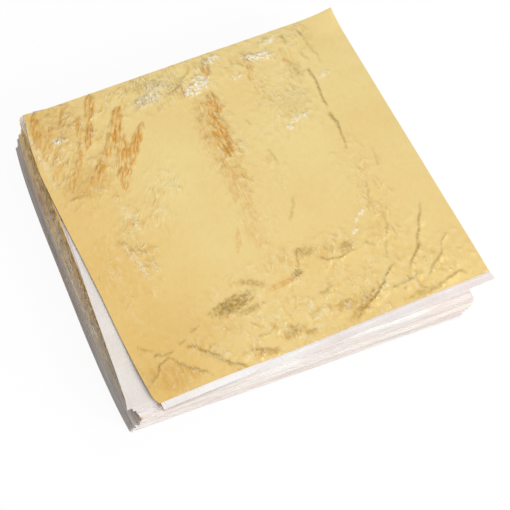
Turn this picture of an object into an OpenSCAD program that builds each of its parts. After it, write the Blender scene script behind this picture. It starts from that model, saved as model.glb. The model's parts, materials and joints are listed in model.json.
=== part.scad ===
// Loose pack of gold leaf: square leaves between square tissues, in one low pile that nothing binds.
// Sizes are in millimetres, and turns in degrees seen from above.
// +X runs along the front edge of the top leaf, +Y to its back edge and +Z up.
// The origin is the middle of the lowest tissue's underside, on which the pile rests.

/* [Sheets] */
// Side of one square sheet, leaf and tissue alike
sheet_side = 140; // [100:1:160]
// Thickness that one gold leaf takes up in the pile, crinkles included
leaf_t = 0.05; // [0.02:0.01:0.1]
// Thickness that one tissue takes up in the pile, crinkles included
tissue_t = 0.21; // [0.1:0.01:0.4]

/* [Pile] */
// Pairs of leaf and tissue in one bundle
bundle_pairs = 10; // [4:1:14]
// How far the left edge of the lower sheets bows out between its corners
pile_bow = 2.3; // [0:0.1:4]
// Most that one sheet slips out of its place, each way
slip = 0.25; // [0:0.05:0.5]
// Most that one sheet is turned out of its place, each way
slip_turn = 0.15; // [0:0.05:0.5]
// Most that a leaf shifts between its two tissues, each way
leaf_shift = 0.2; // [0:0.05:0.5]
// Most that a clump of sheets slips together, each way
clump_slip = 0.4; // [0:0.05:1]
// Pairs that slip together as one clump
clump_pairs = 6; // [2:1:12]

/* [Top leaf] */
// Height of the tallest fold over the tissue
fold_h = 1.4; // [0.2:0.1:3]
// How high the back right corner curls up
curl_h = 2.5; // [0:0.1:5]
// Length of the curled stretch, in from that corner
curl_len = 16; // [8:1:30]
// How far its left edge bows out between its corners
top_bow = 3.2; // [0:0.1:5]

/* [Hidden] */
LOOSE = 10;
UPPER_BUNDLES = 4;
LOWER_BUNDLES = 5;
BUNDLES = UPPER_BUNDLES + LOWER_BUNDLES;

function two_digits(n) = n < 10 ? str("0", n) : str(n);
function numbered(word, count) = [for (i = [1 : count]) str(word, two_digits(i))];

LEAF_NAMES = numbered("leaf_", LOOSE);
TISSUE_NAMES = numbered("tissue_", LOOSE);
LEAF_BUNDLE_NAMES = concat(numbered("upper_leaves_", UPPER_BUNDLES), numbered("lower_leaves_", LOWER_BUNDLES));
TISSUE_BUNDLE_NAMES = concat(numbered("upper_tissues_", UPPER_BUNDLES), numbered("lower_tissues_", LOWER_BUNDLES));

// Pair 1 is on top, and each pair is a tissue with its leaf on it
PAIRS = LOOSE + BUNDLES * bundle_pairs;
PITCH = tissue_t + leaf_t;

// Where the first tissues lie: right, back and turn from the lowest tissue's middle
TOP_TISSUES = [[7.2, -1.6, 0.6], [7.2, -3.8, 0.3], [1.2, -2.2, -4.2], [1.0, -2.2, -2.8]];
// Where the top leaf lies on them
TOP_LEAF = [7.1, 0.1, 0];
// The rest of the pile leans as a whole: the share of its depth, then right, back and turn,
// and last the share of pile_bow, as the sheets bulge out to the left further down
LEAN = [
    [0.00, 1.0, -2.4, -2.4, 0.00],
    [0.15, 1.8, -3.5, -2.3, 0.25],
    [0.30, 1.8, -3.4, -2.3, 0.50],
    [0.45, 1.3, -2.7, -2.5, 0.80],
    [0.50, 0.3, -2.6, -2.9, 1.00],
    [0.70, 0.3, -1.7, -3.0, 1.00],
    [1.00, 0.0, 0.0, -3.3, 1.00]
];

// Random numbers from -1 to 1, the same each time, one for each pair or clump
ACROSS = rands(-1, 1, PAIRS, 11);
ALONG = rands(-1, 1, PAIRS, 23);
TURNED = rands(-1, 1, PAIRS, 37);
CLUMP_ACROSS = rands(-1, 1, PAIRS, 41);
CLUMP_ALONG = rands(-1, 1, PAIRS, 59);
LEAF_ACROSS = rands(-1, 1, PAIRS, 61);
LEAF_ALONG = rands(-1, 1, PAIRS, 73);

// Share of the pile's depth at pair i, and its clump
function depth(i) = (i - 1) / (PAIRS - 1);
function clump(i) = floor((i - 1) / clump_pairs);
function column(keys, n) = [for (key = keys) [key[0], key[n]]];
function lean(i) = [for (n = [1 : 3]) lookup(depth(i), column(LEAN, n))];
// The lowest tissue has no slip, since the origin is at its middle
function own_slip(i) = i == PAIRS ? [0, 0, 0] : [
    slip * ACROSS[i - 1] + clump_slip * CLUMP_ACROSS[clump(i)],
    slip * ALONG[i - 1] + clump_slip * CLUMP_ALONG[clump(i)],
    slip_turn * TURNED[i - 1]
];
function tissue_place(i) = i <= len(TOP_TISSUES) ? TOP_TISSUES[i - 1] : lean(i) + own_slip(i);
// A leaf clings to the tissue over it, which has lain on it since the pile was put together
function leaf_slip(i) = leaf_shift * [LEAF_ACROSS[i - 1], LEAF_ALONG[i - 1], 0];
function leaf_place(i) = i == 1 ? TOP_LEAF : tissue_place(i - 1) + leaf_slip(i);
// The first sheets are straight on their left edge, except for the top leaf
function pair_bow(i) = i <= len(TOP_TISSUES) ? 0 : pile_bow * lookup(depth(i), column(LEAN, 4));
function tissue_bottom(i) = (PAIRS - i) * PITCH;
function leaf_bottom(i) = tissue_bottom(i) + tissue_t;

// Folds of the top leaf: both ends, then half the width and the height.
// Ends and widths are shares of half the sheet's side, and heights are shares of fold_h.
FOLDS = [
    [-0.95, 0.90, -0.98, 0.62, 0.10, 0.8],
    [-0.60, 0.97, -0.73, 0.60, 0.10, 0.9],
    [-0.70, 0.90, -0.90, 0.40, 0.09, 0.6],
    [-0.49, 0.83, -0.64, 0.30, 0.11, 1.0],
    [-0.39, 0.70, -0.60, 0.38, 0.09, 0.7],
    [0.06, 0.82, -0.04, 0.05, 0.12, 1.0],
    [-0.04, 0.05, -0.05, -0.35, 0.10, 0.6],
    [0.14, 0.97, 0.10, 0.80, 0.09, 0.6],
    [0.62, 0.86, 0.57, 0.68, 0.09, 0.5],
    [0.69, 0.64, 0.63, 0.06, 0.09, 0.5],
    [-0.50, -0.61, -0.05, -0.67, 0.10, 0.7],
    [-0.87, -0.77, -0.63, -0.95, 0.09, 0.5],
    [-0.74, -0.70, -0.45, -0.93, 0.09, 0.5],
    [0.54, -0.72, 0.22, -0.95, 0.09, 0.5],
    [0.72, -0.55, 0.60, -0.81, 0.09, 0.4]
];
// Length of one cell of the top leaf, and of one straight stretch along a bowed edge
FOLD_CELL = 5.8;
BOW_STEP = 11.7;

function clamp(x) = min(1, max(0, x));
// Share of the left edge's bow at a height from -1 to 1 along it
function bow_share(along) = 1 - pow(along, 4);

// Where the point of the segment from a to b that is nearest p lies along it, and how far p is from it
function share_along(p, a, b) = clamp((p - a) * (b - a) / ((b - a) * (b - a)));
function reach(p, a, b) = norm(p - a - (b - a) * share_along(p, a, b));
function one_fold(p, f) =
    f[5] * pow(clamp(1 - pow(reach(p, [f[0], f[1]], [f[2], f[3]]) / f[4], 2)), 2);
function folds(p) = fold_h * max([for (f = FOLDS) one_fold(p, f)]);
function curl(p) = curl_h * pow(clamp(1 - norm([1, 1] - p) * sheet_side / 2 / curl_len), 2);
function rise(p) = max(folds(p), curl(p));
// Only the left half of the leaf is drawn out, and its corners stay where they are
function bow(p) = top_bow * pow(clamp(-p[0]), 3) * bow_share(p[1]);
function leaf_point(p, z) = [p[0] * sheet_side / 2 - bow(p), p[1] * sheet_side / 2, z + rise(p)];

module leaf_colour() { color([0.91, 0.79, 0.52]) children(); }
module tissue_colour() { color([0.95, 0.93, 0.91]) children(); }

// Puts a sheet in its place, with its underside at height z
module placed(place, z) {
    translate([place[0], place[1], z]) rotate([0, 0, place[2]]) children();
}

module flat_sheet(thick, bow) {
    half = sheet_side / 2;
    steps = round(sheet_side / BOW_STEP);
    left = [for (k = [0 : steps]) let (along = 1 - 2 * k / steps) [-half - bow * bow_share(along), along * half]];
    right = [[half, -half], [half, half]];
    linear_extrude(thick) polygon(concat(left, right));
}

// The top leaf: a grid of points over the tissue and the same grid one thickness higher
module folded_sheet() {
    n = round(sheet_side / FOLD_CELL);
    row = n + 1;
    layer = row * row;
    grid = [for (j = [0 : n], i = [0 : n]) [2 * i / n - 1, 2 * j / n - 1]];
    points = concat([for (p = grid) leaf_point(p, 0)], [for (p = grid) leaf_point(p, leaf_t)]);
    under = [for (j = [0 : n - 1], i = [0 : n - 1]) let (k = j * row + i) each [
        [k, k + 1, k + row + 1], [k, k + row + 1, k + row]]];
    over = [for (t = under) [t[2] + layer, t[1] + layer, t[0] + layer]];
    rim = concat(
        [for (i = [0 : n]) i],
        [for (j = [1 : n]) j * row + n],
        [for (i = [1 : n]) n * row + n - i],
        [for (j = [1 : n - 1]) (n - j) * row]);
    count = len(rim);
    wall = [for (k = [0 : count - 1]) let (a = rim[k], b = rim[(k + 1) % count]) each [
        [a, b + layer, b], [a, a + layer, b + layer]]];
    polyhedron(points, concat(under, over, wall));
}

module leaf(i) {
    leaf_colour() placed(leaf_place(i), leaf_bottom(i)) {
        if (i == 1) folded_sheet();
        else flat_sheet(leaf_t, pair_bow(i));
    }
}

module tissue(i) {
    tissue_colour() placed(tissue_place(i), tissue_bottom(i)) flat_sheet(tissue_t, pair_bow(i));
}

// The pairs in bundle b
function bundle(b) = [for (n = [1 : bundle_pairs]) LOOSE + (b - 1) * bundle_pairs + n];

module leaf_bundle(b) {
    for (i = bundle(b)) leaf(i);
}

module tissue_bundle(b) {
    for (i = bundle(b)) tissue(i);
}

for (i = [1 : LOOSE]) {
    leaf(i);
    tissue(i);
}
for (b = [1 : BUNDLES]) {
    leaf_bundle(b);
    tissue_bundle(b);
}
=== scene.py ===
# %% [markdown]
# A loose pack of gold leaf
#
# Thin squares of gold leaf lie between squares of white tissue, in one low pile that nothing binds.
# The top leaf shows whole, with its folds and creases. Three tissues show their margins, and all the
# other sheets show only their edges.
# So the lesson has two subjects: one crumpled metal sheet, and the side of a pile of two hundred sheets.

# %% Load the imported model
import json
import math
from collections import namedtuple

import bmesh
import bpy
import numpy as np
from mathutils import Matrix, Vector


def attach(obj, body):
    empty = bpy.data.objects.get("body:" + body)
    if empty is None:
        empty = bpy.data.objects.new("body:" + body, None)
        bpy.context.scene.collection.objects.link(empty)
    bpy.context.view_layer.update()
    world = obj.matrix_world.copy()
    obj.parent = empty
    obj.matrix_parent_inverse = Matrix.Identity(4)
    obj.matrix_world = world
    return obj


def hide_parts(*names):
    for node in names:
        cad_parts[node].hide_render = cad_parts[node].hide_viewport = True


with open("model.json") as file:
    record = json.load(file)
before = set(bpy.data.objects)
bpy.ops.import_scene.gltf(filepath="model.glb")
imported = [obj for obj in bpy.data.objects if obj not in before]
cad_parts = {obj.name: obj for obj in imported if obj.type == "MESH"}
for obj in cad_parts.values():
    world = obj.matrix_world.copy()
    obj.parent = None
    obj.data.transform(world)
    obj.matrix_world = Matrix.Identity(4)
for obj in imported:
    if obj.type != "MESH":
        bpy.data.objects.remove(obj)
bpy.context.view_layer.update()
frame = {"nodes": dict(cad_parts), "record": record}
MM = 0.001

# %% [markdown]
# Where every sheet lies
#
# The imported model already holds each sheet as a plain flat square, turned and slipped out of line. Only
# the top leaf isn't flat there, since it has its folds, and it lies on the first tissue.
# The places could be typed in again, but then they could drift apart from the model.
# So each sheet's four corners, the bow of its left edge and its height are read from the model's points.
# From here on, places are in millimetres from the middle of the top leaf, because that's how a sheet is
# measured, and they are turned into metres only when a mesh is made.

# %% Read the sheets
Sheet = namedtuple("Sheet", "corners bow bottom")
FRONT_LEFT, FRONT_RIGHT, BACK_RIGHT, BACK_LEFT = range(4)
TOWARDS = np.array([(-1, -1), (1, -1), (1, 1), (-1, 1)])
# Heights are rounded to this many digits of a millimetre, so that one level has one number
LEVEL_DIGITS = 3


def node_points(node):
    """A node's points, in millimetres."""
    mesh = frame["nodes"][node].data
    points = np.empty(len(mesh.vertices) * 3)
    mesh.vertices.foreach_get("co", points)
    return points.reshape(-1, 3) / MM


def outward(start, end):
    """The direction that points out of a sheet's left edge, which runs from start to end."""
    run = (end - start) / np.linalg.norm(end - start)
    return np.array([-run[1], run[0]])


def sheet_from(points, bottom):
    """The sheet whose outline is among these points and whose underside is at height bottom."""
    flat = points[:, :2]
    corners = np.array([flat[np.argmax(flat @ way)] for way in TOWARDS])
    start, end = corners[FRONT_LEFT], corners[BACK_LEFT]
    bow = ((flat - start) @ outward(start, end)).max()
    return Sheet(corners, bow, bottom)


def read_sheets(node):
    """The flat sheets of one node, the top one first."""
    points = node_points(node)
    heights = points[:, 2].round(LEVEL_DIGITS)
    undersides = np.unique(heights)[0::2]
    return [sheet_from(points[heights == low], low) for low in undersides[::-1]]


top_of_tissue = node_points("tissue_01")[:, 2].max().round(LEVEL_DIGITS)
top_leaf = sheet_from(node_points("leaf_01"), top_of_tissue)
middle = np.append(top_leaf.corners.mean(axis=0), top_leaf.bottom)
print("middle of the top leaf:", middle.round(2), "mm; bow of its left edge:", round(top_leaf.bow, 2), "mm")

# %% [markdown]
# The camera
#
# A photograph of a square sheet gives its own camera away: the four corners fix the angle, the distance
# and the focal length. The view is steep, a little from the left, and slightly rolled.
# The camera is placed by those angles around a point on the pile, and no lens shift is needed.

# %% Place the camera
FOCAL_PX = 1512
PICTURE_PX = 510
SENSOR_MM = 36
CAMERA_TURN = math.radians(-29.14)
CAMERA_HEIGHT = math.radians(60.27)
CAMERA_ROLL = math.radians(4.75)
CAMERA_DISTANCE = 589.3
LOOKS_AT = np.array([-10.83, -26.74, 0])
NEAREST_SEEN = 10


def place_camera():
    """A camera that looks down at the pile from the front left."""
    level = math.cos(CAMERA_HEIGHT)
    back = Vector((math.sin(CAMERA_TURN) * level, -math.cos(CAMERA_TURN) * level, math.sin(CAMERA_HEIGHT)))
    right = Vector((0, 0, 1)).cross(back).normalized()
    turned = Matrix((right, back.cross(right), back)).transposed() @ Matrix.Rotation(CAMERA_ROLL, 3, "Z")
    data = bpy.data.cameras.new("camera")
    data.sensor_width = SENSOR_MM
    data.lens = SENSOR_MM * FOCAL_PX / PICTURE_PX
    data.clip_start = NEAREST_SEEN * MM
    camera = bpy.data.objects.new("camera", data)
    bpy.context.scene.collection.objects.link(camera)
    target = Vector((LOOKS_AT + middle) * MM)
    camera.matrix_world = Matrix.Translation(target + back * CAMERA_DISTANCE * MM) @ turned.to_4x4()
    bpy.context.scene.camera = camera
    return camera


camera = place_camera()
print("lens:", round(camera.data.lens, 1), "mm; camera at:", tuple(round(v, 3) for v in camera.location))

# %% [markdown]
# Shader maths as plain expressions
#
# A material's maths is a chain of Math nodes, which is slow to read when each one is added by hand.
# Here a small class wraps a socket and gives it Python's own operators, so that a line such as
# 1 - grain * 0.3 adds its two nodes by itself. All other nodes come from one method.

# %% A socket that does maths, and a finish
class Value:
    """A shader socket on which Python's operators add Math nodes."""

    def __init__(self, finish, socket):
        self.finish = finish
        self.socket = socket

    def maths(self, operation, *values):
        made = self.finish.node("Math", {"operation": operation}, dict(enumerate(values)))
        return Value(self.finish, made.outputs[0])

    def __add__(self, other):
        return self.maths("ADD", self, other)

    def __radd__(self, other):
        return self.maths("ADD", other, self)

    def __sub__(self, other):
        return self.maths("SUBTRACT", self, other)

    def __rsub__(self, other):
        return self.maths("SUBTRACT", other, self)

    def __mul__(self, other):
        return self.maths("MULTIPLY", self, other)

    def __rmul__(self, other):
        return self.maths("MULTIPLY", other, self)

    def between(self, none, full):
        """0 up to where the value is none, 1 from where it is full, and even in between."""
        made = self.finish.node("MapRange", {}, {"Value": self, "From Min": none, "From Max": full})
        return Value(self.finish, made.outputs["Result"])


class Finish:
    """A node tree with its Principled shader, if it has one, and a short way to add nodes to it."""

    def __init__(self, tree):
        self.tree = tree
        self.shader = tree.nodes.get("Principled BSDF")

    def node(self, kind, settings, inputs):
        """Adds a node: its settings first, then the values or links of its sockets."""
        made = self.tree.nodes.new("ShaderNode" + kind)
        for name, setting in settings.items():
            setattr(made, name, setting)
        for name, value in inputs.items():
            self.feed(made.inputs[name], value)
        return made

    def feed(self, socket, value):
        if isinstance(value, Value):
            self.tree.links.new(value.socket, socket)
        else:
            socket.default_value = value

    def value(self, kind, output, settings, inputs):
        """Adds a node and gives one of its outputs."""
        return Value(self, self.node(kind, settings, inputs).outputs[output])

    def mix(self, share, first, second):
        """A colour between two colours. A Mix node's colour sockets are its inputs 6 and 7 and output 2."""
        return self.value("Mix", 2, {"data_type": "RGBA"}, {0: share, 6: first, 7: second})

    def noise(self, place, size, detail=2.0, roughness=0.5):
        """Noise from 0 to 1 with bumps about size across, in metres."""
        inputs = {"Vector": place, "Scale": 1 / size, "Detail": detail, "Roughness": roughness}
        return self.value("TexNoise", "Fac", {}, inputs)

    def wrinkles(self, place, size):
        """Thin crisp ridges, as of crumpled foil, in cells about size across: mostly 0.5 to 1.3."""
        settings = {"noise_type": "RIDGED_MULTIFRACTAL", "normalize": False}
        inputs = {"Vector": place, "Scale": 1 / size, "Detail": 4.0, "Roughness": 0.5, "Distortion": 0.5}
        return self.value("TexNoise", "Fac", settings, inputs | {"Offset": 0.9, "Gain": 3.0})

    def stretched(self, place, scale):
        """A place with each axis scaled: a pattern on it is drawn out along an axis with a small number."""
        return self.value("Mapping", "Vector", {}, {"Vector": place, "Scale": scale})

    def axes(self, place):
        """The X, Y and Z of a place."""
        return [Value(self, output) for output in self.node("SeparateXYZ", {}, {"Vector": place}).outputs]


def new_finish(name):
    """A material, and the finish that adds nodes to it."""
    material = bpy.data.materials.new(name)
    material.use_nodes = True
    return material, Finish(material.node_tree)


def linear(share):
    """The light that a screen gives off for a share from 0 to 1 of its brightest number."""
    return share / 12.92 if share <= 0.04045 else ((share + 0.055) / 1.055) ** 2.4


def rgb(red, green, blue):
    """A colour as picked on a screen, 0 to 255, in the linear values that a shader takes."""
    return (linear(red / 255), linear(green / 255), linear(blue / 255), 1)


print("a mid grey in linear light:", round(rgb(128, 128, 128)[0], 3))

# %% [markdown]
# White ground and soft studio light
#
# The ground in the photograph is pure white with no edge, while the left side of the pile stays dim.
# More light would whiten the ground, but it would bleach the pile too.
# So the ground is a pale grey that lights the pile gently, and only the camera, looking straight or
# through something clear, sees it and the world as white, with a little of the pile's shadow left in.
#
# Gold leaf takes its colour and brightness from what it mirrors. A white world would bleach it and the
# dim one would leave it dull, so reflections see a world in between.
# The key lamp is two lamps in one place for the same reason. The bright one lights the pile but isn't
# mirrored, and the dimmer one is only mirrored, so that the leaf stays gold from behind as well.
# A wide dim lamp overhead fills in, and a small one at the right puts glints on the folds.

# %% Lights, world and floor
SKY = 0.31
SKY_IN_METAL = 0.56
GROUND = 0.50
GROUND_ROUGHNESS = 0.9
GROUND_GLOW = 1.10
WHITE_SHARE = 0.85
FLOOR_HALF = 3.0
KEY_PLACE = (0.44, -1.04, 0.66)
KEY_SIDE = 0.90


def rays(finish):
    """1 for rays that look here straight or through something clear, then 1 for reflected rays."""
    path = finish.node("LightPath", {}, {})
    camera_ray = Value(finish, path.outputs["Is Camera Ray"])
    clear_ray = Value(finish, path.outputs["Is Transmission Ray"])
    glossy_ray = Value(finish, path.outputs["Is Glossy Ray"])
    return camera_ray.maths("MAXIMUM", camera_ray, clear_ray), glossy_ray


def light_world():
    """A world that is white to look at and dimmer as a light."""
    world = bpy.data.worlds.new("studio")
    bpy.context.scene.world = world
    world.use_nodes = True
    finish = Finish(world.node_tree)
    background = world.node_tree.nodes["Background"]
    looked_at, mirrored = rays(finish)
    strength = SKY + (1 - SKY) * looked_at + (SKY_IN_METAL - SKY) * mirrored
    finish.feed(background.inputs["Color"], (1, 1, 1, 1))
    finish.feed(background.inputs["Strength"], strength)


def softbox(name, place, side, radiance):
    """A square lamp in metres that faces the pile. Its power follows from how bright its face is."""
    data = bpy.data.lights.new(name, "AREA")
    data.shape = "SQUARE"
    data.size = side
    data.energy = radiance * math.pi * side**2
    lamp = bpy.data.objects.new(name, data)
    bpy.context.scene.collection.objects.link(lamp)
    lamp.location = place
    lamp.rotation_euler = Vector(place).to_track_quat("Z", "Y").to_euler()
    lamp.visible_camera = False
    return lamp


def lay_floor():
    """A pale floor that is seen as white but keeps a faint shadow."""
    made = bmesh.new()
    bmesh.ops.create_grid(made, x_segments=1, y_segments=1, size=FLOOR_HALF)
    mesh = bpy.data.meshes.new("floor")
    made.to_mesh(mesh)
    made.free()
    floor = bpy.data.objects.new("floor", mesh)
    bpy.context.scene.collection.objects.link(floor)
    material, finish = new_finish("pale_ground")
    finish.feed(finish.shader.inputs["Base Color"], (GROUND, GROUND, GROUND, 1))
    finish.feed(finish.shader.inputs["Roughness"], GROUND_ROUGHNESS)
    glow = finish.node("Emission", {}, {"Color": (1, 1, 1, 1), "Strength": GROUND_GLOW})
    looked_at, _ = rays(finish)
    mixed = finish.node("MixShader", {}, {"Fac": looked_at * WHITE_SHARE})
    finish.tree.links.new(finish.shader.outputs[0], mixed.inputs[1])
    finish.tree.links.new(glow.outputs[0], mixed.inputs[2])
    finish.tree.links.new(mixed.outputs[0], finish.tree.nodes["Material Output"].inputs["Surface"])
    mesh.materials.append(material)


light_world()
key = softbox("key_softbox", KEY_PLACE, KEY_SIDE, radiance=5.9)
key.visible_glossy = False
mirrored_key = softbox("mirrored_key", KEY_PLACE, KEY_SIDE, radiance=3.0)
mirrored_key.visible_diffuse = False
softbox("overhead_softbox", (0.17, 0.42, 1.18), side=1.40, radiance=0.48)
softbox("glint_lamp", (0.73, -0.03, 1.00), side=0.30, radiance=3.0)
lay_floor()
bpy.context.scene.view_settings.view_transform = "Standard"
print("lamps:", [o.name for o in bpy.data.objects if o.type == "LIGHT"])

# %% [markdown]
# Gold leaf
#
# Beaten leaf is bare metal, so its colour is all in what it reflects: the shader is fully metallic.
# It isn't polished, because the beating leaves a fine grain, which is noise in its roughness and bump.
# Where the leaf is folded on itself, light bounces twice and comes out a deeper amber, and that bounced light
# is painted into the colour; the shade of a sharp crease is painted olive; and glints on the crumples are
# painted pale. Noise alone can't put these where the photograph has them, and a painted picture would be
# blurred close up. So the mesh says where, with four numbers at each point that are kept as a colour
# attribute, and the shader mixes its tones by them.
#
# The fine wrinkles run along the folds, which lean over at the back left, so a second attribute gives
# the shift that takes that lean out. The leaves in the pile have neither attribute, which reads as 0,
# and stay nearly plain.

# %% The leaf's finish
LEAF_GOLD = rgb(238, 215, 150)
LEAF_WARM_AND_SHADED = rgb(231, 193, 118)
LEAF_AMBER_BOUNCE_AND_SHADE = rgb(212, 148, 58)
LEAF_OLIVE_SHADE = rgb(168, 138, 72)
LEAF_PAINTED_HIGHLIGHT = rgb(253, 249, 232)
MARKS = "marks"
LEAN = "lean"
# Sizes of the leaf's patterns in metres, and how the three that run along the folds are drawn out
CLOUD = 0.030
CRUMPLED_SPOT = 0.009
FLECK = 0.0013
GRAIN = 0.0006
FIBRE, ALONG_FIBRE = 0.0010, (1.0, 0.25, 0.3)
WISP, ALONG_WISP = 0.0026, (1.0, 0.22, 0.3)
CRACKLE, ALONG_CRACKLE = 0.0024, (1.0, 0.55, 0.3)
# From where to where painted shade makes the leaf darker and warmer, towards the front and towards the left,
# in metres
SHADE_FRONT = (0.03, -0.07)
SHADE_LEFT = (-0.020, -0.058)
# How deep the bump is where its height is 1
LEAF_RELIEF = 0.00024


def plain_gold(finish, place):
    """The leaf's colour where it is smooth: warmer in random clouds, and darker and warmer towards the front
    and at the left, which is painted shade.
    """
    cloud = finish.noise(place, CLOUD, 3.0)
    across, along, _ = finish.axes(place)
    shaded_front = along.between(*SHADE_FRONT)
    shaded_left = across.between(*SHADE_LEFT)
    # Random warm clouds, plus painted shade that darkens and warms the leaf towards the front and the left
    warm_and_shaded = cloud.between(0.35, 0.70) * 0.30 + shaded_front * 0.28 + shaded_left * 0.55
    return finish.mix(warm_and_shaded, LEAF_GOLD, LEAF_WARM_AND_SHADED)


def gold_leaf_finish():
    """The finish of every leaf, with painted amber light in the streaks, painted olive shade in the creases
    and painted glints where the mesh has marks.
    """
    material, finish = new_finish("gold_leaf")
    place = finish.value("TexCoord", "Object", {}, {})
    marks = finish.node("Attribute", {"attribute_name": MARKS}, {})
    painted_amber_bounce, painted_olive_shade, painted_glint = finish.axes(Value(finish, marks.outputs["Vector"]))
    wrinkled = Value(finish, marks.outputs["Alpha"])
    lean = finish.value("Attribute", "Vector", {"attribute_name": LEAN}, {})
    upright = finish.value("VectorMath", "Vector", {"operation": "ADD"}, {0: place, 1: lean})
    fibre = finish.noise(finish.stretched(upright, ALONG_FIBRE), FIBRE, 3.0, 0.65)
    wisps = finish.wrinkles(finish.stretched(upright, ALONG_WISP), WISP)
    crackle = finish.wrinkles(finish.stretched(upright, ALONG_CRACKLE), CRACKLE)
    fleck = finish.noise(place, FLECK, 3.0, 0.65)
    grain = finish.noise(place, GRAIN, 2.0, 0.6)
    spots = finish.noise(place, CRUMPLED_SPOT, 3.0, 0.6)
    worked = 0.10 + wrinkled * spots.between(0.40, 0.62) + 0.3 * painted_olive_shade + 0.6 * painted_glint
    threads = fibre.between(0.40, 0.56) * 0.80 + wisps.between(1.05, 0.65) * 0.50
    colour = plain_gold(finish, place)
    # Painted light: the amber of light bounced between the folds of the streaks
    colour = finish.mix(painted_amber_bounce * threads, colour, LEAF_AMBER_BOUNCE_AND_SHADE)
    # Painted shade: the valleys of the fine wrinkles turn amber
    colour = finish.mix(crackle.between(0.85, 0.40) * worked * 0.40, colour, LEAF_AMBER_BOUNCE_AND_SHADE)
    # Painted shade: olive in the creases and crumpled patches
    colour = finish.mix(painted_olive_shade * fleck.between(0.25, 0.60), colour, LEAF_OLIVE_SHADE)
    # Painted highlight: the ridges of the fine wrinkles turn pale
    colour = finish.mix(crackle.between(1.08, 1.30) * worked * 0.4, colour, LEAF_PAINTED_HIGHLIGHT)
    # Painted highlight: pale glints where the mesh marks them
    colour = finish.mix(painted_glint * fleck.between(0.42, 0.56), colour, LEAF_PAINTED_HIGHLIGHT)
    finish.feed(finish.shader.inputs["Base Color"], colour)
    finish.feed(finish.shader.inputs["Metallic"], 1.0)
    finish.feed(finish.shader.inputs["Roughness"], 0.28 + 0.14 * grain)
    relief = wisps * painted_amber_bounce * 0.55 + crackle * worked * 0.80 + grain * 0.08
    bump = finish.value("Bump", "Normal", {}, {"Strength": 1.0, "Distance": LEAF_RELIEF, "Height": relief})
    finish.feed(finish.shader.inputs["Normal"], bump)
    return material


gold_leaf = gold_leaf_finish()
print("gold leaf:", len(gold_leaf.node_tree.nodes), "nodes")

# %% [markdown]
# Tissue
#
# The tissue is thin, soft, unglazed paper, white with a touch of pink. One sheet is almost flat in
# colour, but a pile's side shows layers: some are creamier and some greyer. Each sheet could be given a
# tint of its own, but one noise does the same for all of them: it is drawn out along the sheets and
# packed tight in height. Two more give the pink patches and the fine fibres of the grain.

# %% The tissue's finish
TISSUE_WHITE = rgb(253, 250, 247)
TISSUE_PINK = rgb(245, 233, 228)
TISSUE_CREAM = rgb(243, 232, 207)
TISSUE_GREY = rgb(212, 206, 204)
# Sizes of the tissue's patterns in metres, and how three of them are drawn out
LAYER, ALONG_LAYER = 0.0011, (0.012, 0.012, 1.0)
PATCH, ALONG_PATCH = 0.0030, (0.10, 0.10, 1.0)
TISSUE_FIBRE, ALONG_TISSUE_FIBRE = 0.0007, (1.0, 0.30, 1.0)
CRINKLE = 0.0060
# How deep the bump is where its height is 1, and how much of it is used
TISSUE_RELIEF = 0.0006
TISSUE_BUMP = 0.30
# Heights in metres between which the layers of cream and grey come in: the uppermost sheets stay white
WHITE_ABOVE = 0.0262
LAYERED_BELOW = 0.0245


def tissue_finish():
    """The finish of every tissue, with layers that show on the side of the pile."""
    material, finish = new_finish("tissue")
    place = finish.value("TexCoord", "Object", {}, {})
    layers = finish.noise(finish.stretched(place, ALONG_LAYER), LAYER, 2.0)
    patches = finish.noise(finish.stretched(place, ALONG_PATCH), PATCH, 2.0)
    fibres = finish.noise(finish.stretched(place, ALONG_TISSUE_FIBRE), TISSUE_FIBRE, 3.0, 0.6)
    colour = finish.mix(patches.between(0.40, 0.65), TISSUE_WHITE, TISSUE_PINK)
    deep = finish.axes(place)[2].between(WHITE_ABOVE, LAYERED_BELOW)
    colour = finish.mix(layers.between(0.56, 0.72) * deep * 0.7, colour, TISSUE_CREAM)
    colour = finish.mix((1 - layers.between(0.30, 0.44)) * deep * 0.8, colour, TISSUE_GREY)
    colour = finish.mix(fibres.between(0.45, 0.75) * 0.25, colour, TISSUE_GREY)
    finish.feed(finish.shader.inputs["Base Color"], colour)
    finish.feed(finish.shader.inputs["Roughness"], 0.85 + 0.1 * fibres)
    relief = finish.noise(place, CRINKLE, 4.0, 0.6) * 0.8 + fibres * 0.08
    inputs = {"Strength": TISSUE_BUMP, "Distance": TISSUE_RELIEF, "Height": relief}
    bump = finish.value("Bump", "Normal", {}, inputs)
    finish.feed(finish.shader.inputs["Normal"], bump)
    return material


tissue = tissue_finish()
print("tissue:", len(tissue.node_tree.nodes), "nodes")

# %% [markdown]
# Blanks: the flat squares that every sheet starts from
#
# Every sheet begins as a closed square slab, from -1 to 1, cut into small cells so that it can bend.
# A sheet that shows needs cells all over. A sheet deep in the pile shows only its rim, and two hundred
# full grids would be millions of faces, so its blank keeps the cells along the rim and has one face in
# the middle of each side. The edges round the rim are sharp, because smooth shading across them would
# bend the light over the last cell and draw a line round the sheet.

# %% Cut the blanks
TOP_CELLS = 214
SHOWN_CELLS = 76
RIM_CELLS = 56
RIM_ROWS = 2
# A face whose normal rises or falls more than this is on the top or the underside, not on the rim
FACES_UP = 0.5


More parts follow.
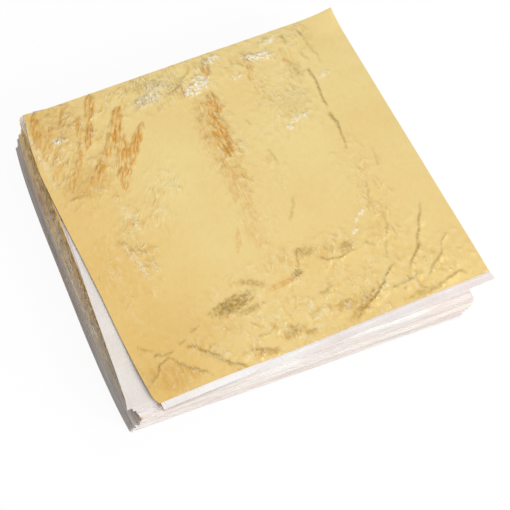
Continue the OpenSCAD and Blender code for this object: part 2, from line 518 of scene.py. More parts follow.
def blank(cells, rim_rows=0):
    """A closed slab from -1 to 1, with its top at 0. With rim_rows, only that many rows of cells are kept."""
    made = bmesh.new()
    bmesh.ops.create_grid(made, x_segments=cells, y_segments=cells, size=1)
    if rim_rows:
        inside = 1 - 2 * rim_rows / cells
        faces = [f for f in made.faces if max(abs(c) for c in f.calc_center_median()) < inside]
        bmesh.ops.dissolve_faces(made, faces=faces, use_verts=True)
    bmesh.ops.solidify(made, geom=made.faces[:], thickness=1)
    for face in made.faces:
        face.smooth = abs(face.normal.z) > FACES_UP
    for edge in made.edges:
        edge.smooth = edge.link_faces[0].smooth == edge.link_faces[1].smooth
    mesh = bpy.data.meshes.new("blank")
    made.to_mesh(mesh)
    made.free()
    return mesh


top_blank = blank(TOP_CELLS)
shown_blank = blank(SHOWN_CELLS)
rim_blank = blank(RIM_CELLS, RIM_ROWS)
print("faces of a blank, shown:", len(shown_blank.polygons), "buried:", len(rim_blank.polygons))

# %% [markdown]
# Laying a blank out as a sheet
#
# The four corners of a sheet carry its blank with them, and the left edge bows out between its corners.
# A real edge is never quite straight, so an edge may also have a list of places where it runs out or in.
# For the few edges that show singly, the list is chosen from the photograph, and for the others it is drawn
# at random. The shift is whole at the edge, half as much 5 mm in and almost gone at 20 mm.

# %% From a blank to a sheet's outline
EDGE_FADE = 10
# For each side, the axis that it faces along and which way
SIDES = {"left": (0, -1), "right": (0, 1), "front": (1, -1), "back": (1, 1)}


def grid_of(mesh):
    """A blank's points: from -1 to 1 across and along, and 0 on top or -1 underneath."""
    points = np.empty(len(mesh.vertices) * 3)
    mesh.vertices.foreach_get("co", points)
    return points.reshape(-1, 3)


def lay_out(sheet, grid, edges):
    """Where a blank's points lie on a sheet, seen from above, in millimetres from the middle."""
    across = (grid[:, 0:1] + 1) / 2
    along = (grid[:, 1:2] + 1) / 2
    front_left, front_right, back_right, back_left = sheet.corners - middle[:2]
    front = front_left * (1 - across) + front_right * across
    back = back_left * (1 - across) + back_right * across
    flat = front * (1 - along) + back * along
    # As in the model, only the left half is drawn out, and its corners stay where they are
    bow = np.clip(-grid[:, 0:1], 0, 1) ** 3 * (1 - grid[:, 1:2] ** 4)
    flat = flat + outward(front_left, back_left) * sheet.bow * bow
    for side, (axis, way) in SIDES.items():
        if side in edges:
            shares, shifts = np.array(edges[side]).T
            near = np.clip(way * grid[:, axis], 0, 1) ** EDGE_FADE
            flat[:, axis] += way * near * np.interp((grid[:, 1 - axis] + 1) / 2, shares, shifts)
    return flat


print("corners of the top leaf:", (top_leaf.corners - middle[:2]).round(1).tolist())

# %% [markdown]
# Waves that the whole pile shares
#
# If each sheet had its own waves, the sheets would cut through each other. In a real pile they all
# follow the ones below. So one field of slow waves swells the whole pile, changing a little with
# height, stronger towards the rim, and gone at the bottom, where the pile lies flat.
# The field is a sum of sine waves with seeded random directions.

# %% The shared waves
PILE_T = middle[2]
HALF_SIDE = 70
FLAT_FOOT = 4
# The swell has this share in the middle of the pile, and grows on a little past the rim
MIDDLE_SWELL = 0.5
SWELL_REACH = 1.1


def waves(x, y, z, length, seed, count=10):
    """Smooth noise, mostly between -1 and 1, with waves about length long. It changes slowly with z."""
    rng = np.random.default_rng(seed)
    total = np.zeros(np.shape(x))
    least, most = (0, 0, 0.7, 0.3), (math.tau, math.tau, 1.4, 0.6)
    for turn, phase, stretch, climb in rng.uniform(least, most, (count, 4)):
        step = math.tau / (length * stretch)
        total = total + np.sin(step * (x * math.cos(turn) + y * math.sin(turn)) + phase + climb * z)
    return total / math.sqrt(count)


def near_rim(x, y, power, most=1.0):
    """About 0 inside the pile and 1 at its rim. The higher the power, the narrower the rim."""
    return np.clip(np.maximum(abs(x), abs(y)) / HALF_SIDE, 0, most) ** power


def pile_wave(x, y, z):
    """How far the sheets at height z swell up, all together."""
    foot = np.clip((z + PILE_T) / FLAT_FOOT, 0, 1)
    slow = 0.06 * waves(x, y, z, length=48, seed=5)
    short = 0.018 * waves(x, y, z, length=12, seed=6)
    return foot * (slow + short) * (MIDDLE_SWELL + near_rim(x, y, power=6, most=SWELL_REACH))


every_centimetre = np.mgrid[-HALF_SIDE:HALF_SIDE + 1:10, -HALF_SIDE:HALF_SIDE + 1:10]
print("highest swell:", round(float(pile_wave(*every_centimetre, 0).max()), 3), "mm")

# %% [markdown]
# How the sheets have slipped and been pushed about
#
# The model's sheets are all true squares. Real ones are pulled a little out of square, and the pile's corners
# are pushed about. So three of the corners have a small given shift that depends on how deep the sheet lies.
# The fourth, at the back right, stays. At the front left the top leaf and the first tissue stand up together,
# which opens a dark gap under them.

# %% Corner shifts and the lifted front
# Depth in the pile, then right and back for the front left, front right and back left corners
CORNER_SHIFTS = np.array([
    (1.0, 0.0, 0.6, -1.9, 1.6, 1.4, 0.0),
    (4.0, 0.8, -0.4, -1.8, 0.5, 1.0, 0.0),
    (9.0, 0.5, 0.2, -1.6, -0.4, 0.4, 0.0),
    (12.8, 0.5, -0.1, -1.8, -0.4, 0.0, 0.0),
    (13.2, 0.6, -0.4, -3.5, -0.5, 0.0, 0.0),
    (26.0, 0.9, 1.0, 1.0, 1.6, -1.0, 0.0),
])
# Where the lift is highest, how far it reaches and how high it is
LIFT_PLACE = (-50, -66)
LIFT_REACH = 38
LIFT_H = 1.6


def pushed(sheet):
    """A sheet whose corners are pushed about by as much as belongs to its depth."""
    depth = middle[2] - sheet.bottom
    shift = [np.interp(depth, CORNER_SHIFTS[:, 0], column) for column in CORNER_SHIFTS[:, 1:].T]
    corners = sheet.corners.copy()
    corners[FRONT_LEFT] += shift[0:2]
    corners[FRONT_RIGHT] += shift[2:4]
    corners[BACK_LEFT] += shift[4:6]
    return sheet._replace(corners=corners)


def grown(sheet, left, front, right, back):
    """A sheet made larger at each side, or smaller where a number is below 0."""
    corners = sheet.corners.copy()
    corners[[FRONT_LEFT, BACK_LEFT], 0] -= left
    corners[[FRONT_RIGHT, BACK_RIGHT], 0] += right
    corners[[FRONT_LEFT, FRONT_RIGHT], 1] -= front
    corners[[BACK_LEFT, BACK_RIGHT], 1] += back
    return sheet._replace(corners=corners)


def lifted(x, y):
    """How far the top leaf and the first tissue stand up at their front left."""
    away = np.hypot(x - LIFT_PLACE[0], y - LIFT_PLACE[1]) / LIFT_REACH
    return LIFT_H * np.clip(1 - away**2, 0, 1) ** 2


print("lift at the front left corner:", round(float(lifted(-HALF_SIDE, -HALF_SIDE)), 2), "mm")

# %% [markdown]
# Folds and creases of the top leaf
#
# Each fold of the photograph's leaf is a short path over the sheet, given in millimetres.
# A streak is a soft raised band that is rumpled along its length, and the light that bounces in its folds is
# painted into it as amber. A crease is a sharp pleat, steep on one side, whose shade is painted as a thin
# olive line. A patch is an oval where the leaf is crumpled, and it may hold the crumpling's shade painted
# dark, or a glint painted pale. A wrinkled area is a larger oval where only the fine wrinkles are stronger.
# Random folds would be less work, but this leaf is known by where its folds are.

# %% Where the leaf is folded
# Half the width of the core, the strength of the relief and of the painted amber of bounced light, then the
# path
STREAKS = [
    (1.5, 0.7, 0.95, [(-66, 69), (-67.5, 63), (-70, 52)]),
    (1.2, 0.4, 0.50, [(-61, 60), (-65, 55), (-69.5, 46)]),
    (1.0, 0.4, 0.60, [(-55, 66), (-57.5, 60), (-59, 55)]),
    (1.2, 0.4, 0.45, [(-49, 61), (-51, 58), (-53, 50)]),
    (1.8, 0.9, 1.00, [(-41.5, 69), (-44, 63), (-46, 58)]),
    (1.4, 0.8, 1.00, [(-46.5, 56), (-49, 51), (-51.5, 45)]),
    (1.0, 0.6, 0.65, [(-54, 49), (-56, 43), (-59, 38), (-65, 28)]),
    (1.2, 0.4, 0.40, [(-63, 50), (-65, 45), (-68, 40), (-69, 35)]),
    (1.8, 0.7, 0.75, [(-41, 48), (-44, 42), (-50, 35), (-57, 28)]),
    (2.6, 1.1, 1.00, [(-33, 59), (-37, 52), (-38.5, 47), (-39, 38), (-42, 30), (-45, 22)]),
    (1.8, 0.8, 0.85, [(-27, 48), (-30, 44), (-34, 39), (-38, 33), (-42, 27)]),
    (2.8, 0.8, 0.80, [(5, 50), (3, 43), (1, 36)]),
    (3.0, 1.0, 1.00, [(1.5, 38), (0.5, 27), (-1, 19)]),
    (4.2, 0.6, 0.45, [(-1, 20), (-3, 8), (-4.5, -6)]),
    (3.4, 0.4, 0.25, [(-4, -4), (-6, -14), (-8, -24)]),
    (1.0, 0.3, 0.45, [(-12, -13), (-14, -18), (-16, -23)]),
    (1.3, 0.5, 0.90, [(9, 67), (8, 63), (6.5, 58)]),
    (0.9, 0.3, 0.70, [(-5.5, 58), (-6.5, 52)]),
    (1.2, 0.4, 0.50, [(25, 63), (26, 58), (23, 50)]),
    (1.0, 0.3, 0.45, [(41, 60), (41, 53), (43, 45)]),
    (1.2, 0.4, 0.45, [(-13, -43.5), (-7, -42.5), (-1, -43)]),
    (1.2, 0.4, 0.45, [(-30, -64), (-26, -67), (-19, -69)]),
    (1.0, 0.4, 0.60, [(-38, -70), (-33, -70)]),
]
# Half the width of the steep side, the height of the pleat, the strength of the painted olive shade, then the
# path
CREASES = [
    (0.40, 0.27, 0.80, [(47.8, 47), (47.0, 34), (46.6, 24)]),
    (0.40, 0.27, 0.80, [(46.4, 23), (45.3, 12), (44.7, 3)]),
    (0.40, 0.15, 0.31, [(48, 56), (50, 49)]),
    (0.40, 0.15, 0.36, [(52, 66), (53, 58), (54, 47)]),
    (0.40, 0.15, 0.36, [(-14, 55), (-5, 60), (3, 67)]),
    (0.64, 0.21, 0.47, [(44, 66), (44.5, 61)]),
    (0.48, 0.15, 0.31, [(15, 16), (16, 9)]),
    (0.48, 0.15, 0.31, [(12, 33), (14, 28)]),
    (0.40, 0.21, 0.73, [(-71, -63), (-66, -59), (-63, -56), (-59.5, -55), (-56, -59), (-50, -65),
                        (-46, -69)]),
    (0.40, 0.27, 0.94, [(-52, -53), (-48, -55), (-46, -57), (-43, -61.5), (-41, -64), (-36, -68),
                        (-34, -69.5)]),
    (0.40, 0.15, 0.47, [(-68, -44), (-66, -48), (-64, -50)]),
    (0.56, 0.21, 0.62, [(-65, -51), (-61, -52), (-58.5, -53.5), (-56, -52)]),
    (0.40, 0.15, 0.47, [(-54, -51), (-50, -49)]),
    (0.40, 0.15, 0.42, [(-48, -48), (-43, -46)]),
    (0.48, 0.15, 0.47, [(-25, -60), (-20, -60), (-16, -58)]),
    (0.80, 0.21, 0.62, [(-8, -66), (-5, -65.5), (-2, -65)]),
    (0.48, 0.32, 1.00, [(12, -69), (16, -66), (21, -64), (25, -61), (29, -58), (33, -55), (38, -52)]),
    (0.40, 0.27, 0.80, [(41, -58), (45, -54), (48, -51), (51, -46), (54, -41), (57, -37), (60, -31)]),
    (0.48, 0.21, 0.60, [(47, -63), (50, -60), (54, -56), (57, -54), (60, -50), (63, -47)]),
    (0.48, 0.15, 0.57, [(35, -64), (38, -63)]),
    (0.72, 0.15, 0.52, [(32, -62), (37, -61), (43, -61)]),
    (0.40, 0.21, 0.52, [(41, -40), (43, -35), (43, -30)]),
    (0.40, 0.15, 0.42, [(41, -28), (42, -20), (44, -13)]),
    (0.40, 0.15, 0.31, [(53, -10), (54, 0)]),
    (0.48, 0.15, 0.42, [(36, -49), (39, -42)]),
    (0.64, 0.15, 0.36, [(8, -19), (12, -12), (14, -8)]),
    (0.56, 0.21, 0.57, [(48, -69), (54, -66), (59, -65), (62, -69)]),
    (0.56, 0.21, 0.57, [(10, -37), (14, -40), (20, -41), (27, -41)]),
    (0.48, 0.21, 0.62, [(2, -39), (3, -35), (6, -31)]),
    (0.40, 0.15, 0.47, [(31, -39), (34, -42)]),
    (0.40, 0.15, 0.47, [(4, -52), (7, -53), (10, -51)]),
    (0.40, 0.15, 0.42, [(-68, 24.5), (-58, 25)]),
    (0.40, 0.21, 0.36, [(-57, 0), (-55, -4), (-51, -9)]),
]
# Middle, both half sizes, turn in degrees, strength of the crumpling, then painted amber, painted olive shade
# and painted glint
PATCHES = [
    ((-28, -43.5), (8.5, 3.2), 8, 0.55, 0.15, 0.95, 0.0),
    ((-30, -42), (5.0, 1.2), 15, 0.30, 0.25, 0.80, 0.0),
    ((-23, -48), (5.0, 1.5), 5, 0.35, 0.10, 0.55, 0.0),
    ((-17, -38), (5.0, 1.6), -30, 0.35, 0.20, 0.50, 0.0),
    ((1, -41), (2.0, 1.6), 0, 0.40, 0.20, 0.80, 0.0),
    ((7.5, -33.5), (3.5, 2.5), -20, 0.30, 0.10, 0.45, 0.0),
    ((23, -38), (3.0, 2.5), 0, 0.40, 0.10, 0.55, 0.0),
    ((18, -64), (9.0, 2.4), 28, 0.25, 0.15, 0.45, 0.0),
    ((-11, -63), (4.5, 2.2), 0, 0.35, 0.20, 0.50, 0.0),
    ((-24, -67), (5.0, 1.6), -20, 0.35, 0.40, 0.45, 0.0),
    ((12, -61), (4.0, 2.4), -20, 0.30, 0.10, 0.35, 0.0),
    ((42, -68), (9.0, 1.5), 0, 0.25, 0.05, 0.45, 0.0),
    ((35, 33), (7.0, 7.0), 0, 0.22, 0.00, 0.20, 0.0),
    ((42, 47), (3.0, 6.0), 0, 0.20, 0.05, 0.25, 0.0),
    ((-2, 30), (6.0, 22.0), -4, 0.25, 0.35, 0.05, 0.0),
    ((-58, 30), (10.0, 7.0), 0, 0.25, 0.30, 0.15, 0.0),
    ((-60, 60), (12.0, 10.0), 0, 0.25, 0.12, 0.12, 0.0),
    ((-62, -62), (10.0, 6.0), -20, 0.15, 0.25, 0.12, 0.0),
    ((-20, 58), (6.5, 3.2), 10, 0.45, 0.00, 0.25, 0.60),
    ((-15, 62), (5.0, 3.0), 0, 0.35, 0.00, 0.15, 0.45),
    ((1, 56), (6.5, 3.0), 30, 0.50, 0.00, 0.10, 1.00),
    ((12, 66), (3.5, 1.6), 20, 0.30, 0.00, 0.00, 0.80),
    ((31, 60), (6.5, 1.9), -14, 0.35, 0.00, 0.00, 1.00),
    ((38, 66), (4.0, 1.6), 0, 0.25, 0.00, 0.00, 0.60),
    ((18, 54), (3.0, 1.0), 0, 0.20, 0.00, 0.00, 0.60),
    ((-61, 53), (3.5, 1.4), -10, 0.30, 0.00, 0.00, 0.85),
    ((33, 25), (5.0, 1.1), 12, 0.25, 0.00, 0.00, 0.60),
    ((28, 22), (1.4, 1.2), 0, 0.20, 0.00, 0.00, 0.60),
    ((52, 41), (3.0, 1.2), 0, 0.20, 0.00, 0.00, 0.50),
    ((36, -26), (2.2, 0.9), 20, 0.25, 0.00, 0.00, 0.80),
    ((33, -28), (1.8, 0.9), 35, 0.25, 0.00, 0.00, 0.55),
    ((30, -32.5), (1.8, 0.9), 20, 0.25, 0.00, 0.00, 0.80),
    ((-54, -11), (1.4, 9.0), 12, 0.25, 0.00, 0.00, 0.40),
    ((-49, 8), (1.2, 9.0), 10, 0.20, 0.00, 0.00, 0.28),
    ((-71, 48), (1.3, 16.0), 3, 0.10, 0.00, 0.00, 0.30),
]
# Where the leaf is wrinkled all over: middle, both half sizes, turn in degrees and strength
WRINKLED = [
    ((-57, 45), (17, 26), 0, 0.9),
    ((-51, -3), (7, 25), -8, 1.0),
    ((-34, 12), (9, 18), -30, 0.6),
    ((0, 25), (8, 28), -4, 0.8),
    ((-5, -14), (9, 14), -8, 0.5),
    ((-12, 61), (52, 10), 0, 0.8),
    ((31, 38), (13, 20), 0, 0.6),
    ((45, 62), (13, 9), 0, 0.6),
    ((44, -18), (8, 30), 0, 0.6),
    ((14, 10), (5, 15), -12, 0.5),
    ((0, -59), (72, 14), 0, 0.8),
    ((8, -38), (42, 9), 0, 0.8),
    ((-63, -14), (8, 24), 0, 0.5),
]
print("streaks:", len(STREAKS), "creases:", len(CREASES), "patches:", len(PATCHES), "areas:", len(WRINKLED))

# %% [markdown]
# Raising the folds
#
# For each point of the leaf, the nearest place on a path gives how far away it is, on which side, and
# how far along. A soft band and a sharp pleat are then just two different curves of that distance.
# Crumpling is a sum of zigzag waves in random directions, because metal foil buckles in flat facets
# and straight edges, and smooth noise would look like cloth.
# The loop that raises a fold also writes its marks, so that relief and colour stay together.

# %% Distance from a path, and facets
END_TAPER = 0.15


def beside(x, y, path):
    """Distance from a path, signed by its side, and the share of the path's length at which it is."""
    path = np.array(path, float)
    steps = np.diff(path, axis=0)
    lengths = np.hypot(*steps.T)
    starts = np.concatenate([[0], np.cumsum(lengths)])
    best = np.full(x.shape, np.inf)
    signed = np.zeros(x.shape)
    share = np.zeros(x.shape)
    for (x0, y0), (dx, dy), length, start in zip(path, steps, lengths, starts):
        part = np.clip(((x - x0) * dx + (y - y0) * dy) / length**2, 0, 1)
        away_x = x - x0 - part * dx
        away_y = y - y0 - part * dy
        away = np.hypot(away_x, away_y)
        nearer = away < best
        best = np.where(nearer, away, best)
        signed = np.where(nearer, np.sign(dx * away_y - dy * away_x) * away, signed)
        share = np.where(nearer, (start + part * length) / starts[-1], share)
    return signed, share


def tapered(share):
    """1 along a path and less towards its two ends."""
    return np.clip(np.minimum(share, 1 - share) / END_TAPER, 0, 1) ** 0.7


def zigzag(value):
    """A wave of straight slopes between -1 and 1."""
    return 2 * abs(2 * (value - np.floor(value + 0.5))) - 1


def crumple(x, y, length, seed, count=7):
    """Facets about length across, as in crumpled foil, with heights mostly between -1 and 1."""
    rng = np.random.default_rng(seed)
    bend_x = x + 0.30 * length * waves(x, y, 0, 2.5 * length, seed + 1)
    bend_y = y + 0.30 * length * waves(x, y, 0, 2.5 * length, seed + 2)
    total = np.zeros(np.shape(x))
    for turn, phase, stretch in rng.uniform((0, 0, 0.7), (math.tau, 1, 1.6), (count, 3)):
        run = bend_x * math.cos(turn) + bend_y * math.sin(turn)
        total = total + zigzag(run / (length * stretch) + phase)
    return total / math.sqrt(count)


print("facets reach up to", round(float(crumple(*every_centimetre, length=5, seed=3).max()), 2))

# %% Bands, pleats and patches
# A streak strays from its path only this much of the way that a crease does
STREAK_STRAY = 0.5
# How much wider the colour of a streak spreads than its core, and its relief than its colour
STREAK_SPREAD = 1.45
RELIEF_SPREAD = 1.5
# Width of a streak at its two ends, as a share of its width in the middle
STREAK_END = 0.35
# From one small pleat of a streak to the next
PLEAT_STEP = 1.9
# A crease's gentle side is this many times wider, and either side ends at this many widths
GENTLE_SIDE = 4.0
PLEAT_REACH = 1.6
# How much wider its painted olive line of shade is than the steep side
LINE_SPREAD = 1.2
# Half the width of the thinnest line that the leaf's cells can still draw without gaps
THINNEST_LINE = 0.68


def stray(x, y):
    """How far a path strays, across and along, so that it doesn't look drawn with a ruler."""
    across = 0.45 * waves(x, y, 0, length=8, seed=81) + 0.18 * waves(x, y, 0, length=4, seed=82)
    along = 0.45 * waves(x, y, 0, length=8, seed=83) + 0.18 * waves(x, y, 0, length=4, seed=84)
    return across, along


def patchy(x, y):
    """Unevenness, mostly between -1 and 1, for the outlines of streaks and wrinkled areas."""
    return waves(x, y, 0, length=4.5, seed=43)


def oval(x, y, middle_at, halves, turn):
    """0 in the middle of a turned oval, 1 on its rim and more outside."""
    c, s = math.cos(math.radians(turn)), math.sin(math.radians(turn))
    dx, dy = x - middle_at[0], y - middle_at[1]
    return np.hypot((dx * c + dy * s) / halves[0], (dy * c - dx * s) / halves[1])


def raise_streaks(x, y, height, painted_amber_bounce):
    """Adds the streaks to the leaf's height and to the painted amber of light bounced in their folds."""
    across, along = stray(x, y)
    uneven = 1 + 0.12 * patchy(x, y)
    rumple = crumple(x, y, length=2.8, seed=21)
    pleat_shift = 0.4 * waves(x, y, 0, length=9, seed=41)
    for half_w, relief, strength, path in STREAKS:
        signed, share = beside(x + STREAK_STRAY * across, y + STREAK_STRAY * along, path)
        belly = STREAK_END + (1 - STREAK_END) * np.sin(math.pi * share) ** 0.6
        width = STREAK_SPREAD * half_w * belly * uneven
        band = np.clip(1.5 - 1.5 * (signed / width) ** 2, 0, 1)
        pleats = zigzag(signed / PLEAT_STEP + pleat_shift)
        rise = np.clip(1 - (signed / (RELIEF_SPREAD * width)) ** 2, 0, 1) ** 2 * tapered(share)
        height += rise * relief * (0.18 + 0.06 * pleats + 0.04 * rumple)
        painted_amber_bounce[:] = np.maximum(painted_amber_bounce, strength * band * (0.80 + 0.20 * pleats))


def raise_creases(x, y, height, painted_olive_shade):
    """Adds the creases to the leaf's height and to their painted olive shade."""
    across, along = stray(x, y)
    for half_w, tall, strength, path in CREASES:
        signed, share = beside(x + across, y + along, path)
        width = np.where(signed > 0, half_w, half_w * GENTLE_SIDE)
        pleat = np.clip(1 - abs(signed) / (PLEAT_REACH * width), 0, 1) ** 1.3 * tapered(share)
        half_line = max(LINE_SPREAD * half_w, THINNEST_LINE)
        line = np.clip(1 - (signed / half_line) ** 2, 0, 1) * tapered(share)
        height += pleat * tall
        painted_olive_shade[:] = np.maximum(painted_olive_shade, strength * line)


def raise_patches(x, y, height, painted_amber_bounce, painted_olive_shade, painted_glint):
    """Adds the patches to the leaf's height and to their painted amber, painted olive shade and painted
    glints.
    """
    rough = crumple(x, y, length=2.0, seed=31)
    for middle_at, halves, turn, relief, *strengths in PATCHES:
        # Whole in about the inner quarter of the oval, then fading out to about a quarter past its rim
        inside = np.clip(1.25 - oval(x, y, middle_at, halves, turn) + 0.25 * rough, 0, 1)
        height += inside * relief * (0.30 + 0.32 * rough)
        for mark, strength in zip((painted_amber_bounce, painted_olive_shade, painted_glint), strengths):
            mark[:] = np.maximum(mark, strength * np.clip(1.6 * inside, 0, 1))


amber_reach = STREAK_SPREAD * STREAKS[0][0]
raised_reach = RELIEF_SPREAD * amber_reach
print("first streak:", round(amber_reach, 1), "mm to each side; its relief:", round(raised_reach, 1), "mm")

# %% [markdown]
# The shape of the top leaf
#
# The leaf is raised as one height field over the tissue, so that it can never cut through it: the
# pile's waves, the lift at the front left, the folds, a light crumpling that comes and goes over the
# sheet, and the curl of the back right corner.

# %% The top leaf's height and marks
CURL_REACH = 15
CURL_H = 2.2
# The wrinkles of the back left lean by this share of their run. The lean fades out over FAN_FADE
# millimetres, and to the right of FAN_END they stand straight.
FAN_LEAN = 0.5
FAN_END = -4
FAN_FADE = 24
# Height, length and seed of each layer of the light crumpling
CRUMPLING = [(0.05, 9, 61), (0.030, 4.2, 71), (0.022, 2.3, 91)]
# Share of the crumpling where the leaf isn't wrinkled, and how far a wrinkled leaf stands off the tissue
CALM = 0.15
STAND_OFF = 0.25


def folded(x, y):
    """The height of the folds, the painted amber, painted olive shade and painted glints, and how wrinkled
    the leaf is.
    """
    height = np.zeros(x.shape)
    painted_amber_bounce, painted_olive_shade, painted_glint, wrinkled = marks = np.zeros((4, *x.shape))
    raise_streaks(x, y, height, painted_amber_bounce)
    raise_creases(x, y, height, painted_olive_shade)
    raise_patches(x, y, height, painted_amber_bounce, painted_olive_shade, painted_glint)
    uneven = 0.20 * patchy(x, y)
    for middle_at, halves, turn, strength in WRINKLED:
        # Whole in about the inner two fifths of the oval, and gone about a quarter past its rim
        inside = np.clip(1.5 - 1.2 * oval(x, y, middle_at, halves, turn) + uneven, 0, 1)
        wrinkled[:] = np.maximum(wrinkled, strength * inside)
    return height, marks.T


def leaning(x, y):
    """The shift that takes the lean out of the wrinkles at the back left, and is 0 elsewhere."""
    fan = np.clip((FAN_END - x) / FAN_FADE, 0, 1)
    return np.column_stack([-FAN_LEAN * np.clip(y, 0, None) * fan, np.zeros((len(x), 2))])


def crumpled(x, y, wrinkled):
    """Height of the light crumpling, which is weak where the leaf isn't wrinkled."""
    facets = sum(tall * crumple(x, y, length, seed) for tall, length, seed in CRUMPLING)
    return (CALM + (1 - CALM) * wrinkled) * (STAND_OFF + facets)


def curled(x, y):
    """Height of the curl at the back right corner."""
    away = np.hypot(HALF_SIDE - x, HALF_SIDE - y) / CURL_REACH
    return CURL_H * np.clip(1 - away, 0, 1) ** 2


print("the curl's height 5 mm in from its corner:", round(float(curled(HALF_SIDE - 5, HALF_SIDE)), 2), "mm")

# %% [markdown]
# Making pieces
#
# A piece is one blank, or for a bundle many blanks, each laid out at its own sheet's place. A blank is
# already closed, with its underside one unit down, so its thickness is set by where its points go, and
# no modifier is needed. Each piece rides on the body of the pile that it belongs to and replaces the
# model's plain squares.
#
# A pile's side isn't an even stack of lines: the sheets cling together in clumps with slits between
# them. So the rim of each sheet moves a little towards the middle of its clump.

# %% Build one piece from laid-out sheets
# Thickness of a leaf and of a tissue: less than in the model, so that slits show between the sheets
SHOWN_LEAF_T = 0.03
SHOWN_TISSUE_T = 0.17
# Depths at which the pile's rim parts into clumps, with slits between them
SLITS = np.array([1.2, 3.4, 5.2, 7.7, 9.9, 12.95, 15.3, 17.7, 20.3, 23.0, 26.1])
# How far a rim moves, as a share of its way to the clump's middle, and how narrow that rim is
CLUMP_SQUEEZE = 0.13
CLUMP_RIM = 16


def clumped(x, y, depth):
    """How far the rim of a sheet at this depth moves up or down towards its clump."""
    if depth < SLITS[0]:
        return 0.0
    k = np.clip(np.searchsorted(SLITS, depth), 1, len(SLITS) - 1)
    away = depth - (SLITS[k - 1] + SLITS[k]) / 2
    uneven = 0.65 + 0.35 * waves(x, y, 0, length=35, seed=77, count=6)
    return away * CLUMP_SQUEEZE * near_rim(x, y, CLUMP_RIM) * uneven


def sheet_points(sheet, flat_mesh, edges, thickness, lift=0.0):
    """The points of a blank as a sheet in the pile, which follows the waves of the pile."""
    grid = grid_of(flat_mesh)
    flat = lay_out(sheet, grid, edges)
    x, y = flat.T
    low = sheet.bottom - middle[2]
    z = low + thickness * (1 + grid[:, 2])
    z += pile_wave(x, y, low) + lift * lifted(x, y) + clumped(x, y, -low)
    return np.column_stack([x, y, z])


def make_piece(name, body, slot, material, laid):
    """One object from pairs of a blank and its laid-out points."""
    made = bmesh.new()
    for flat_mesh, _ in laid:
        made.from_mesh(flat_mesh)
    mesh = bpy.data.meshes.new(name)
    made.to_mesh(mesh)
    made.free()
    points = np.concatenate([points for _, points in laid]) + middle
    mesh.vertices.foreach_set("co", (points * MM).ravel())
    mesh.update()
    mesh.materials.append(material)
    piece = bpy.data.objects.new(name, mesh)
    bpy.context.scene.collection.objects.link(piece)
    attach(piece, body)
    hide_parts(name.removesuffix("_dressed"))
    return piece


print("clumps in the rim:", len(SLITS) - 1)

# %% [markdown]
# The top leaf
#
# This is the sheet that the eye goes to, so it has the finest grid of all, with cells of 0.65 mm. That is
# fine enough for creases as real geometry, and bump is left with only the wrinkles that are finer still.
# Its left edge isn't cut true, so a list says how far it runs out or in at each share of its length.
# The marks and the lean are written onto the finished mesh as attributes, where the shader reads them.

# %% Make the top leaf
# Share of the edge from the front, and how far it runs out there
LEFT_EDGE = [(0, -0.2), (0.02, 0.6), (0.09, 0.0), (0.18, -0.5), (0.35, -0.8), (0.50, -0.3), (0.60, 0.2),
             (0.70, 0.6), (0.79, 1.0), (0.88, 0.7), (0.95, 0.2), (0.98, -0.3), (1, -0.6)]


def top_leaf_piece():
    """The top leaf with its folds, its curl and the attributes that its finish reads."""
    points = sheet_points(top_leaf, top_blank, {"left": LEFT_EDGE}, SHOWN_LEAF_T, lift=1.0)
    x, y = points[:, 0], points[:, 1]
    folds, marks = folded(x, y)
    points[:, 2] += folds + crumpled(x, y, wrinkled=marks[:, 3]) + curled(x, y)
    piece = make_piece("leaf_01_dressed", "leaf_01", "gold_leaf", gold_leaf, [(top_blank, points)])
    mark_layer = piece.data.color_attributes.new(name=MARKS, type="FLOAT_COLOR", domain="POINT")
    mark_layer.data.foreach_set("color", marks.ravel())
    lean_layer = piece.data.attributes.new(name=LEAN, type="FLOAT_VECTOR", domain="POINT")
    lean_layer.data.foreach_set("vector", (leaning(x, y) * MM).ravel())
    return piece


top_leaf_mesh = top_leaf_piece().data
highest = max(vertex.co.z for vertex in top_leaf_mesh.vertices) / MM
print("top leaf:", len(top_leaf_mesh.polygons), "faces; its highest point is at", round(highest, 2), "mm")

# %% [markdown]
# The loose sheets under the top leaf
#
# The next sheets are picked up one by one, so each is a piece with its own full grid. The first three
# tissues show their margins: the first makes the bright rim at the front, and the third turns out
# past the leaf on the left. Their edges follow the photograph. In the upper half of the pile most leaves
# stand out by a hair on the left, where their edges line the side with brown. At the front nearly all
# of them stay back, and that side is white.

# %% Loose leaves and tissues
# How much lower a leaf lies than in the model
LEAF_SINK = 0.01
# For each side, how far a leaf stands out, and how much that differs from leaf to leaf
OVERHANG = {"left": (0.05, 0.12), "front": (-0.70, 0.35), "right": (-0.30, 0.20), "back": (0.00, 0.12)}
# The leaves of the lower half stay back on the left, and all of them come out more towards the back
LOWER_LEFT = -0.22
LEFT_TILT = 0.06
# How far an edge of one sheet wanders, each way
WANDER = 0.10
WANDER_STEPS = 7
# Share of the edge, from the left or the front, and how far it runs out there
TISSUE_EDGES = {
    "tissue_01": {
        "front": [(0, 0.4), (0.26, 0.7), (0.29, -0.9), (0.6, -0.5), (1, 0)],
        "right": [(0, -1.2), (1, -0.4)],
    },
    "tissue_02": {
        "front": [(0, -0.8), (0.26, -0.6), (0.5, -0.3), (1, 0)],
        "right": [(0, 0), (0.1, -0.8), (1, -0.8)],
    },
    "tissue_03": {
        "left": [(0, 0.6), (0.03, -0.1), (0.13, -0.3), (0.345, -0.5), (0.463, -0.9), (0.583, -0.94),
                 (0.590, -1.9), (0.77, -1.6), (0.91, -2.5), (1, -5.0)],
        "front": [(0, 0), (0.5, -1.2), (1, -3.0)],
        "back": [(0, -1.3), (0.16, -1.6), (0.4, -1.0), (1, 0)],
    },
}
LIFTED_TISSUE = "tissue_01"
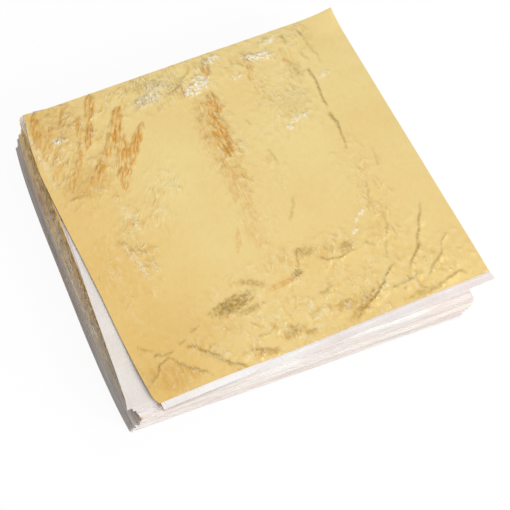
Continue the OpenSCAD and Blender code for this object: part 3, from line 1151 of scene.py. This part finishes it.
# Its margin in front of the leaf hangs down by this share of its run, over this many millimetres
DROOP = 0.22
DROOP_REACH = 3
# A leaf clings to the tissue over it, so it has the edges of that tissue, except for these
LEAF_EDGES = {
    "leaf_02": {"front": [(0, 1.6), (0.26, 1.6), (0.29, -1.5), (1, -1.5)], "right": [(0, -2.5), (1, -2.5)]},
    "leaf_04": {
        "left": [(0, -1.0), (0.58, -1.0), (0.60, 0.0), (0.8, 0.4), (1, 0.8)],
        "front": [(0, -1.0), (0.5, -1.6), (1, -3.4)],
    },
}
rng = np.random.default_rng(7)


def overhung(sheet):
    """A buried leaf with its edges a little out of or into the pile, and lying a little lower."""
    sides = {side: out + spread * rng.uniform(-1, 1) for side, (out, spread) in OVERHANG.items()}
    if sheet.bottom < PILE_T / 2:
        sides["left"] += LOWER_LEFT
    return grown(sheet, **sides)._replace(bottom=sheet.bottom - LEAF_SINK)


def wandering(left_tilt=0.0):
    """Edges that are not quite straight, different at each call."""
    shares = np.linspace(0, 1, WANDER_STEPS)
    edges = {side: np.column_stack([shares, rng.uniform(-WANDER, WANDER, WANDER_STEPS)]) for side in OVERHANG}
    edges["left"][:, 1] += left_tilt * (2 * shares - 1)
    return edges


def drooped(x, y):
    """How far the margin in front of the lifted corner hangs down."""
    return DROOP * np.clip(-HALF_SIDE - y, 0, DROOP_REACH) * lifted(x, y) / LIFT_H


def loose_leaf(name):
    """One of the loose leaves, with the edges of the tissue over it."""
    over = f"tissue_{int(name[-2:]) - 1:02d}"
    edges = wandering(LEFT_TILT) | TISSUE_EDGES.get(over, {}) | LEAF_EDGES.get(name, {})
    sheet = overhung(pushed(read_sheets(name)[0]))
    points = sheet_points(sheet, shown_blank, edges, SHOWN_LEAF_T)
    make_piece(name + "_dressed", name, "gold_leaf", gold_leaf, [(shown_blank, points)])


def loose_tissue(name):
    """One of the loose tissues. Those with edges of their own aren't pushed about with the pile."""
    sheet = read_sheets(name)[0]
    if name not in TISSUE_EDGES:
        sheet = pushed(sheet)
    edges = wandering() | TISSUE_EDGES.get(name, {})
    lift = float(name == LIFTED_TISSUE)
    points = sheet_points(sheet, shown_blank, edges, SHOWN_TISSUE_T, lift)
    points[:, 2] -= lift * drooped(points[:, 0], points[:, 1])
    make_piece(name + "_dressed", name, "tissue", tissue, [(shown_blank, points)])


loose = sorted(name for name in frame["nodes"] if name.startswith(("leaf_", "tissue_")))
loose.remove("leaf_01")
for name in loose:
    if name.startswith("leaf"):
        loose_leaf(name)
    else:
        loose_tissue(name)
print("loose sheets under the top leaf:", len(loose))

# %% [markdown]
# The bundles
#
# Further down, ten pairs at a time move as one bundle. Each bundle is two pieces, its leaves and its
# tissues, since they have different finishes. The top leaf and the bottom tissue of a bundle come into
# view when it is lifted, so they have full grids. So has the top tissue, because the single flat face in
# the middle of a rim blank would show through the waves of the leaf that lies on it. The rest have the
# light rim blank.

# %% Bundles of leaves and tissues
def bundle_piece(node, body):
    """All the leaves or all the tissues of one bundle."""
    is_leaf = "leaves" in node
    sheets = [pushed(sheet) for sheet in read_sheets(node)]
    shown = {0} if is_leaf else {0, len(sheets) - 1}
    laid = []
    for k, sheet in enumerate(sheets):
        flat_mesh = shown_blank if k in shown else rim_blank
        if is_leaf:
            points = sheet_points(overhung(sheet), flat_mesh, wandering(LEFT_TILT), SHOWN_LEAF_T)
        else:
            points = sheet_points(sheet, flat_mesh, wandering(), SHOWN_TISSUE_T)
        laid.append((flat_mesh, points))
    finish = ("gold_leaf", gold_leaf) if is_leaf else ("tissue", tissue)
    return make_piece(node + "_dressed", body, *finish, laid)


bundles = {body: nodes for body, nodes in frame["record"]["behaviour"]["bodies"].items() if "bundle" in body}
for body, nodes in sorted(bundles.items()):
    for node in nodes:
        bundle_piece(node, body)
print("bundles:", len(bundles))
